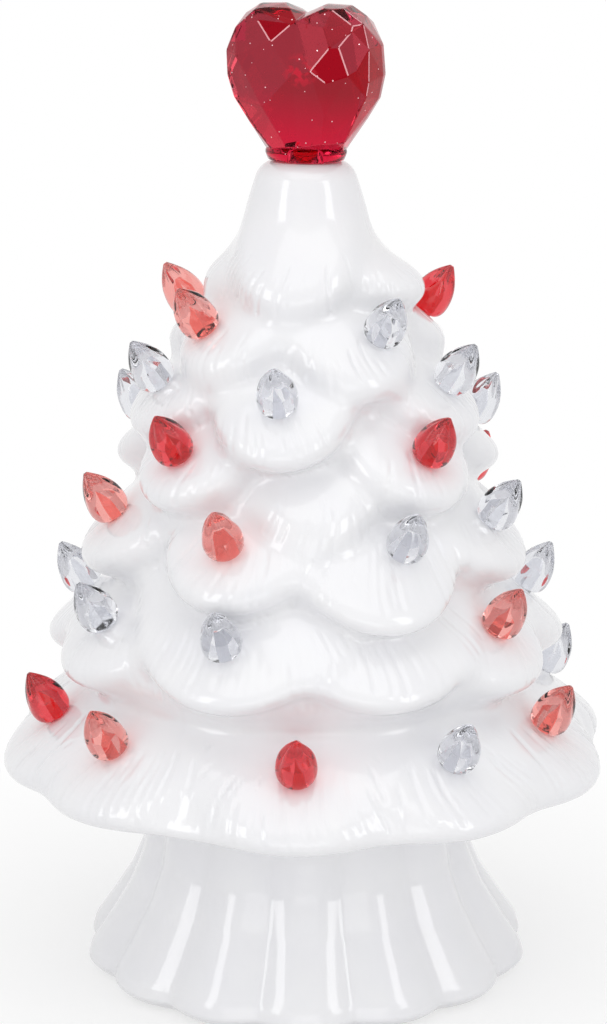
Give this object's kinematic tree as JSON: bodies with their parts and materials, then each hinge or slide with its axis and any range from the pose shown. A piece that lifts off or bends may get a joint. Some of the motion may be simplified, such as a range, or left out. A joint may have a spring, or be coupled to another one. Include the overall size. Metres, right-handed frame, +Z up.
{
  "type": "ceramic christmas tree",
  "caption": "White glazed ceramic tabletop tree with tiers of rounded branches, coloured peg bulbs, a faceted heart topper and a fluted base with a battery light.",
  "frame": {"origin": "centre of the base's foot, on the surface that it stands on", "axes": "+Z up along the trunk, front of the tree towards -Y, +X to the right seen from the front"},
  "size_m": [0.1393, 0.1407, 0.2294],
  "materials": {
    "white_glaze": "glossy white glaze",
    "heart_red": "clear red cast acrylic with glitter",
    "bulb_red": "clear red moulded acrylic",
    "bulb_coral": "clear coral moulded acrylic",
    "bulb_clear": "clear moulded acrylic",
    "housing_white": "moulded white ABS",
    "board_green": "green solder mask",
    "steel": "zinc plated",
    "switch_black": "moulded black nylon",
    "cell_jacket": "plain printed steel jacket",
    "contact_nickel": "nickel plated spring steel",
    "lamp_lens": "warm white epoxy lens"
  },
  "bodies": {
    "base": {"base_pedestal": "white_glaze", "battery_housing": "housing_white", "lamp_board": "board_green", "board_screws": "steel", "switch_body": "switch_black", "battery_cell_1": "cell_jacket", "battery_cell_2": "cell_jacket", "battery_cell_3": "cell_jacket", "battery_contact_1": "contact_nickel", "battery_contact_2": "contact_nickel", "battery_contact_3": "contact_nickel", "battery_contact_4": "contact_nickel", "lamp_1": "lamp_lens", "lamp_2": "lamp_lens", "lamp_3": "lamp_lens"},
    "tree": {"tree_shell": "white_glaze", "bulb_tier2_1": "bulb_coral", "bulb_tier2_2": "bulb_clear", "bulb_tier2_3": "bulb_red", "bulb_tier2_4": "bulb_clear", "bulb_tier2_5": "bulb_coral", "bulb_tier3_1": "bulb_clear", "bulb_tier3_2": "bulb_clear", "bulb_tier3_3": "bulb_clear", "bulb_tier3_4": "bulb_coral", "bulb_tier3_5": "bulb_red", "bulb_tier4_1": "bulb_red", "bulb_tier4_2": "bulb_red", "bulb_tier4_3": "bulb_clear", "bulb_tier4_4": "bulb_coral", "bulb_tier4_5": "bulb_clear", "bulb_tier5_1": "bulb_coral", "bulb_tier5_2": "bulb_coral", "bulb_tier5_3": "bulb_clear", "bulb_tier5_4": "bulb_clear", "bulb_tier5_5": "bulb_red", "bulb_tier5_6": "bulb_clear", "bulb_tier5_7": "bulb_coral", "bulb_tier5_8": "bulb_red", "bulb_tier6_1": "bulb_clear", "bulb_tier6_2": "bulb_clear", "bulb_tier6_3": "bulb_clear", "bulb_tier6_4": "bulb_coral", "bulb_tier6_5": "bulb_clear", "bulb_tier6_6": "bulb_red", "bulb_tier6_7": "bulb_coral", "bulb_tier6_8": "bulb_red", "bulb_tier7_1": "bulb_red", "bulb_tier7_2": "bulb_coral", "bulb_tier7_3": "bulb_red", "bulb_tier7_4": "bulb_clear", "bulb_tier7_5": "bulb_coral", "bulb_tier7_6": "bulb_clear", "bulb_tier7_7": "bulb_red", "bulb_tier7_8": "bulb_coral", "bulb_tier7_9": "bulb_clear"},
    "topper": {"heart_topper": "heart_red"},
    "door": {"battery_door": "housing_white"},
    "switch": {"switch_slider": "switch_black"}
  },
  "joints": [
    {"name": "tree_lift", "type": "slide", "parent": "base", "child": "tree", "axis": [0, 0, 1], "range_m": [0, 0.12]},
    {"name": "topper_pull", "type": "slide", "parent": "tree", "child": "topper", "axis": [0, 0, 1], "range_m": [0, 0.03]},
    {"name": "door_hinge", "type": "hinge", "parent": "base", "child": "door", "pos_m": [0, -0.02345, 0.003], "axis": [-1, 0, 0], "range_deg": [0, 95]},
    {"name": "switch_slide", "type": "slide", "parent": "base", "child": "switch", "axis": [1, 0, 0], "range_m": [0, 0.003]}
  ]
}
